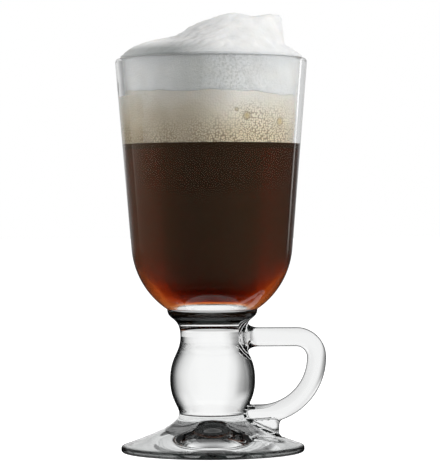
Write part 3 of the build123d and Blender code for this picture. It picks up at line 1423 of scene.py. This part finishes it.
@dataclass
class Drink:
    """Coffee, froth and milk foam inside the bowl."""

    bowl: Bowl
    finishes: Finishes
    segments: int = 224
    inner_segments: int = 96
    skin: float = 0.03
    heart_r: float = 13.5
    body_gap: float = 1.0
    froth_z: float = 133.2
    layer_gap: float = 0.05
    crown_r: float = 33.9
    crown_lift: float = 0.2
    crown_height: float = 7.4
    crown_steps: int = 60
    foam_crease: float = math.radians(48)
    foam_lift: float = 0.6
    still: float = 0.4
    voxel: float = 0.55
    mound: Mound = Mound()

    def heart(self, mark: CoffeeSkin, grow: float = 0.0) -> Shape:
        """Builds the dense heart of the coffee.

        Args:
            mark: mark of its faces.
            grow: millimetres to draw it larger by.

        Returns:
            The closed heart.
        """
        low, top, r = self.bowl.floor_z + 1.3 - grow, self.bowl.coffee_z - 0.7 + grow, self.heart_r + grow
        made = Outline().start(0.0, low).region(mark).line(0.45 * r, low, 1.0)
        made.curve((0.75 * r, low + 0.6), (r, low + 5.0), (r, low + 11.0), 20)
        return Shape.turned(made.line(r + 1.5, top, 2.0).line(0.0, top, 2.0), self.inner_segments)

    def body(self) -> Shape:
        """Builds the dense body of the coffee, just inside its skin.

        Returns:
            The closed body.
        """
        room, gap = self.bowl, self.body_gap
        low, top, bend = room.floor_z + gap, room.coffee_z - 0.3, room.floor_z + 28.0
        made = Outline().start(0.0, low).region(CoffeeSkin.BODY).line(8.5, low, 1.0)
        made.curve((12.0, low), (13.0, low + 1.5), (14.2, low + 4.0), 16)
        made.curve((18.0, low + 11.0), (room.inside(bend) - 1.3 * gap, low + 15.0), (room.inside(bend) - gap, bend), 32)
        made.line(room.inside(top) - gap, top, 2.0).line(0.0, top, 2.0)
        return Shape.turned(made, self.inner_segments)

    def coffee(self) -> bpy.types.Object:
        """Builds the coffee with its denser body, hollow for the still denser heart.

        Returns:
            The dressed coffee.
        """
        room, gap = self.bowl, self.skin
        made = Outline().start(0.0, room.floor_z + gap).line(room.room_r, room.floor_z + gap, 1.0)
        made.arc((room.room_r, room.room_z), -room.lean, 40)
        made.line(room.inside(room.coffee_z) - gap, room.coffee_z, 1.0)
        made.region(CoffeeSkin.TOP).line(0.0, room.coffee_z, 1.5)
        shape = Shape.turned(made, self.segments).join(self.heart(CoffeeSkin.HEART))
        shape.join(self.body()).join(self.heart(CoffeeSkin.BODY, gap).inside_out())
        mesh = shape.mesh("coffee")
        mark_creases(mesh)
        looks = self.finishes
        skins = (looks.coffee, looks.coffee_top, looks.heart, looks.body)
        return seat(place("coffee_drink", mesh, skins), "coffee")

    def froth_level(self, angle: float) -> float:
        """Height of the wavy line between froth and milk foam, by direction from the axis."""
        waves = 0.35 * math.sin(5 * angle + 2.0) + 0.2 * math.sin(11 * angle) + 0.12 * math.sin(23 * angle + 1.0)
        return self.froth_z + 1.1 * math.cos(angle + math.radians(135)) + waves

    def froth(self) -> bpy.types.Object:
        """Builds the layer of froth.

        Returns:
            The dressed froth.
        """
        layer = Layer(self.bowl, self.segments)
        floor = [self.bowl.coffee_z + self.layer_gap] * self.segments
        mesh = layer.pour(floor, [self.froth_level(a) for a in layer.angles]).mesh("froth")
        mark_creases(mesh)
        return seat(place("froth_layer", mesh, (self.finishes.froth,)), "froth")

    def foam_blank(self) -> bpy.types.Mesh:
        """Pours the terrace over the rim and the heap of the mound into one skin.

        Returns:
            The joined skin, as even small faces.
        """
        room, low = self.bowl, self.bowl.rim_z + self.crown_lift
        made = Outline().start(0.0, room.rim_z - 3.0).line(room.mouth_r - 1.4, room.rim_z - 3.0, 2.0)
        made.line(room.mouth_r - 0.5, room.rim_z - 0.3, 1.0).line(self.crown_r, low, 1.0)
        for i in range(1, self.crown_steps):
            share = math.cos(math.pi / 2 * i / self.crown_steps)
            made.reach(self.crown_r * share, low + self.crown_height * (1 - share**4) ** 0.75)
        made.reach(0.0, low + self.crown_height)
        shape = Shape.turned(made, self.segments).join(self.mound.pour(room.rim_z))
        blank = place("foam blank", shape.mesh("foam blank"), ())
        remesh = blank.modifiers.new("join", "REMESH")
        remesh.mode, remesh.voxel_size, remesh.use_smooth_shade = "VOXEL", self.voxel * MM, True
        joined = worked(blank)
        bpy.data.objects.remove(blank)
        return joined

    def swell(self, spot: Vector, normal: Vector) -> Vector:
        """Lets one point of the foam swell into lumps and folds, with a dent across the top.

        Args:
            spot: point in millimetres.
            normal: outward direction there.

        Returns:
            The swollen point in millimetres.
        """
        over = spot.z - self.bowl.rim_z
        loose = clamp((over - self.still) / 2.5)
        lumps = 0.6 * noise.fractal(spot / 9.0, 1.0, 2.0, 2) + 0.26 * noise.fractal(spot / 2.8, 0.9, 2.0, 3)
        across = FOLD_SLOPE[0] * spot.x + FOLD_SLOPE[1] * over + 0.25 * spot.y
        across += 1.6 * noise.fractal(spot / 11.0, 1.0, 2.0, 2)
        flank = clamp((9.0 - spot.x) / 6.0) * clamp((spot.x + 21.0) / 6.0)
        folds = 0.7 * (abs(math.sin(across * 0.95)) ** 0.6 - 0.7) * flank
        dent = 1.3 * math.exp(-(((spot.x - 15.5) / 3.6) ** 2)) * clamp((over - 11.0) / 5.0)
        return spot + normal * (lumps + folds) * loose - Vector((0.0, 0.0, dent))

    def settle(self, spot: Vector, normal: Vector) -> Vector:
        """Lets one point of the crown swell and settle on the rim.

        Args:
            spot: point in millimetres.
            normal: outward direction there.

        Returns:
            The settled point in millimetres.
        """
        room = self.bowl
        if spot.z - room.rim_z > self.still:
            spot = self.swell(spot, normal)
        if math.hypot(spot.x, spot.y) > room.mouth_r - 0.3:
            spread = self.crown_r / math.hypot(spot.x, spot.y)
            if spot.z > room.rim_z + 1.0 or spread > 1.03:
                spread = 1.0
            return Vector((spot.x * spread, spot.y * spread, max(spot.z, room.rim_z + 0.06)))
        return spot

    def foam_in_glass(self) -> Shape:
        """Builds the foam below the rim, from the wavy line of the froth up.

        Returns:
            The closed layer.
        """
        layer = Layer(self.bowl, self.segments)
        floor = [self.froth_level(a) + self.layer_gap for a in layer.angles]
        return layer.pour(floor, [self.bowl.rim_z + self.foam_lift] * self.segments)

    def foam(self) -> bpy.types.Object:
        """Builds the milk foam with its mound over the rim.

        Returns:
            The dressed foam.
        """
        crown = self.foam_blank()
        work = bmesh.new()
        work.from_mesh(crown)
        relax(work, [v for v in work.verts if v.co.z > (self.bowl.rim_z + 0.5) * MM], 9)
        work.normal_update()
        for vert, spot in [(v, self.settle(v.co / MM, v.normal)) for v in work.verts]:
            vert.co = spot * MM
        lower = self.foam_in_glass().mesh("foam in the glass")
        work.from_mesh(lower)
        mesh = bpy.data.meshes.new("milk_foam_cap")
        work.to_mesh(mesh)
        work.free()
        mesh.polygons.foreach_set("use_smooth", [True] * len(mesh.polygons))
        mark_creases(mesh, self.foam_crease)
        for used in (crown, lower):
            bpy.data.meshes.remove(used)
        return seat(place("milk_foam_cap", mesh, (self.finishes.foam,)), "milk_foam")

    def build(self) -> list[bpy.types.Object]:
        """Builds the drink from the bottom up and returns its pieces."""
        return [self.coffee(), self.froth(), self.foam()]


# Set

@dataclass(frozen=True)
class Lamp:
    """Soft lamp that lights matt things and is not seen in the glass: sizes in metres, power in watts."""

    name: str
    spot: Spot
    size: Point
    power: float
    aim: Spot = (0.0, 0.0, 0.12)

    def hang(self) -> None:
        """Hangs the lamp and points it at the mug."""
        data = bpy.data.lights.new(self.name, "AREA")
        data.shape, data.energy = "RECTANGLE", self.power
        data.size, data.size_y = self.size
        made = bpy.data.objects.new(self.name, data)
        bpy.context.scene.collection.objects.link(made)
        made.location = self.spot
        made.rotation_euler = (Vector(self.aim) - made.location).to_track_quat("-Z", "Y").to_euler()
        made.visible_camera = made.visible_glossy = made.visible_transmission = False


@dataclass
class Studio:
    """Pale table, white surround, soft lamps and the camera of the photograph."""

    scale: float = 0.3747
    axis_px: float = 211.9
    table_px: float = 451.3
    distance: float = 955.0
    eye_z: float = 92.3
    focal: float = 2550.0
    roll: float = 0.29
    ambient: float = 0.17
    peak: float = 4.0
    through: Points = (
        (-180, 0.6), (-140, 0.8), (-118, 0.5), (-95, 1.0), (-75, 0.85), (-62, 0.7), (-52, 0.22), (-46, 0.28),
        (-39, 0.36), (-30, 0.5), (-21, 0.85), (-12, 1.0), (10, 1.0), (20, 0.95), (39, 0.9), (60, 0.85), (90, 0.9),
        (118, 0.5), (140, 0.8), (180, 0.6))
    mirrored: Points = (
        (-180, 0.08), (-120, 0.08), (-100, 0.25), (-60, 0.6), (-57, 1.0), (-55, 0.2), (-42, 0.25), (-30, 0.5),
        (-18, 0.8), (-8, 1.0), (8, 1.0), (16, 0.7), (24, 0.3), (38, 0.15), (40, 0.3), (41, 2.2), (44.5, 2.2),
        (45.5, 0.07), (180, 0.08))
    above: Points = (
        (-180, 0.8), (-90, 0.9), (-60, 1.0), (-40, 1.15), (-30, 0.95), (-20, 0.9), (-8, 1.0), (8, 1.0), (25, 1.0),
        (34, 1.15), (60, 1.0), (90, 0.9), (180, 0.8))
    table_z: float = -0.02
    table_glow: Points = ((0.0, 0.70), (0.12, 0.70), (0.45, 0.85), (1.0, 1.0))
    # Painted shade: the table mirrored in the glass is dim, dimmest near the mug.
    table_mirrored_shade: Points = ((0.0, 0.03), (0.25, 0.06), (0.9, 0.5))
    # Painted shadow: the table seen through the glass is dark under the foot.
    painted_shadow_under_foot: Points = ((0.0, 0.05), (0.08, 0.06), (0.13, 0.8), (0.17, 1.0))
    lamps: tuple[Lamp, ...] = (
        Lamp("key from the handle's side", (0.71, -0.42, 0.32), (0.5, 0.6), 6.2),
        Lamp("fill from the far side", (-0.8, -0.06, 0.25), (0.5, 0.7), 3.7),
        Lamp("soft top", (-0.15, 0.10, 0.85), (0.5, 0.5), 3.0))

    def camera(self) -> None:
        """Sets the camera at the photograph's place."""
        data = bpy.data.cameras.new("camera")
        data.sensor_width = SENSOR
        data.lens = self.focal * SENSOR / FRAME_HEIGHT
        data.clip_start, data.clip_end = 0.05, 20.0
        made = bpy.data.objects.new("camera", data)
        bpy.context.scene.collection.objects.link(made)
        made.location = Vector((0.0, -self.distance, self.eye_z)) * MM
        right, up = FRAME_WIDTH / 2 - self.axis_px, self.table_px - FRAME_HEIGHT / 2
        aim = Vector((right * self.scale, 0.0, up * self.scale)) * MM
        made.rotation_euler = (aim - made.location).to_track_quat("-Z", "Y").to_euler()
        made.rotation_euler.rotate_axis("Z", math.radians(-self.roll))
        bpy.context.scene.camera = made

    def panels(self, desk: Desk, axes: Sequence[Socket]) -> list[Socket]:
        """Gives the studio's white and dark panels by their direction from the mug.

        Args:
            desk: shader desk to work on.
            axes: sockets of the direction's x and y.

        Returns:
            Brightness seen through the glass, brightness mirrored by it, and brightness seen through it higher up.
        """
        share = desk.maths("ADD", desk.maths("DIVIDE", desk.maths("ARCTAN2", axes[0], axes[1]), 2 * math.pi), 0.5)
        return [desk.product(desk.ramp(share, [(d / 360 + 0.5, v / self.peak) for d, v in stops]), self.peak)
                for stops in (self.through, self.mirrored, self.above)]

    def table(self) -> None:
        """Lays the pale table that keeps the mug's shadow, with painted shade under the foot where the glass looks
        through at it and near the mug where the glass mirrors it.
        """
        outline = Outline().start(0.0, self.table_z)
        outline.line(200.0, self.table_z, 20.0).line(6000.0, self.table_z, 400.0)
        mesh = Shape.turned(outline, 64).mesh("table")
        mesh.flip_normals()
        made, desk = new_material("pale table")
        through, mirrored, _ = self.panels(desk, desk.axes())
        away = desk.away(desk.spot(), (0.0, 0.0, 0.0))
        # Painted shadow under the foot, seen through the glass.
        painted_shadow_under_foot = desk.ramp(desk.product(away, 5.0), self.painted_shadow_under_foot)
        # Painted shade of the table near the mug, as the glass mirrors it.
        far = desk.ramp(desk.product(away, 0.5), self.table_mirrored_shade)
        path = desk.add("ShaderNodeLightPath").outputs
        glow = desk.mix(path["Is Glossy Ray"], desk.ramp(away, self.table_glow), desk.product(mirrored, far))
        glow = desk.mix(path["Is Transmission Ray"], glow, desk.product(through, painted_shadow_under_foot))
        glow = desk.mix(path["Is Diffuse Ray"], glow, BLACK)
        grain = desk.ramp(desk.noise(40.0), ((0.3, 0.78), (0.7, 0.80)))
        seen = desk.maths("MULTIPLY_ADD", path["Is Diffuse Ray"], 0.4, path["Is Camera Ray"])
        matt = desk.add("ShaderNodeBsdfDiffuse", {"Color": desk.mix(seen, BLACK, grain)})
        light = desk.add("ShaderNodeEmission", {"Color": glow, "Strength": 1.0})
        desk.finish(desk.add("ShaderNodeAddShader", {0: matt.outputs[0], 1: light.outputs[0]}))
        place("table", mesh, (made,))

    def world(self) -> None:
        """Surrounds the set with white, with the grey panels and dark ceiling that draw the glass."""
        world = bpy.data.worlds.new("surround")
        bpy.context.scene.world = world
        world.use_nodes = True
        desk = Desk(world.node_tree)
        way = desk.add("ShaderNodeTexCoord").outputs["Generated"]
        axes = desk.add("ShaderNodeSeparateXYZ", {0: way}).outputs
        through, mirrored, above = self.panels(desk, axes)
        through = desk.mix(desk.ramp(axes[2], ((0.12, 0.0), (0.28, 1.0))), through, above)
        through = desk.product(through, desk.ramp(axes[2], ((0.55, 1.0), (0.80, 1.0), (0.88, 0.1))))
        mirrored = desk.product(mirrored, desk.ramp(axes[2], ((0.12, 1.0), (0.35, 0.15))))
        path = desk.add("ShaderNodeLightPath").outputs
        light = desk.mix(path["Is Glossy Ray"], (self.ambient,) * 3, mirrored)
        light = desk.mix(path["Is Transmission Ray"], light, through)
        light = desk.mix(path["Is Camera Ray"], light, WHITE)
        back = desk.add("ShaderNodeBackground", {"Color": light, "Strength": 1.0})
        desk.add("ShaderNodeOutputWorld", {"Surface": back.outputs[0]})

    def build(self) -> None:
        """Sets up camera, table, surround and lamps."""
        self.camera()
        self.table()
        self.world()
        for lamp in self.lamps:
            lamp.hang()
        scene = bpy.context.scene
        scene.view_settings.view_transform = "Standard"
        scene.cycles.max_bounces = 32
        scene.cycles.transmission_bounces = 28
        scene.cycles.glossy_bounces = 16
        scene.cycles.transparent_max_bounces = 32


def main() -> None:
    """Builds the mug, its drink and the set."""
    logging.basicConfig(level=logging.INFO, format="%(name)s %(message)s")
    finishes = Finishes()
    FusedStem(finishes).build()
    bowl = Bowl(finishes)
    bowl.build()
    Drink(bowl, finishes).build()
    Studio().build()


if __name__ == "__main__":
    main()
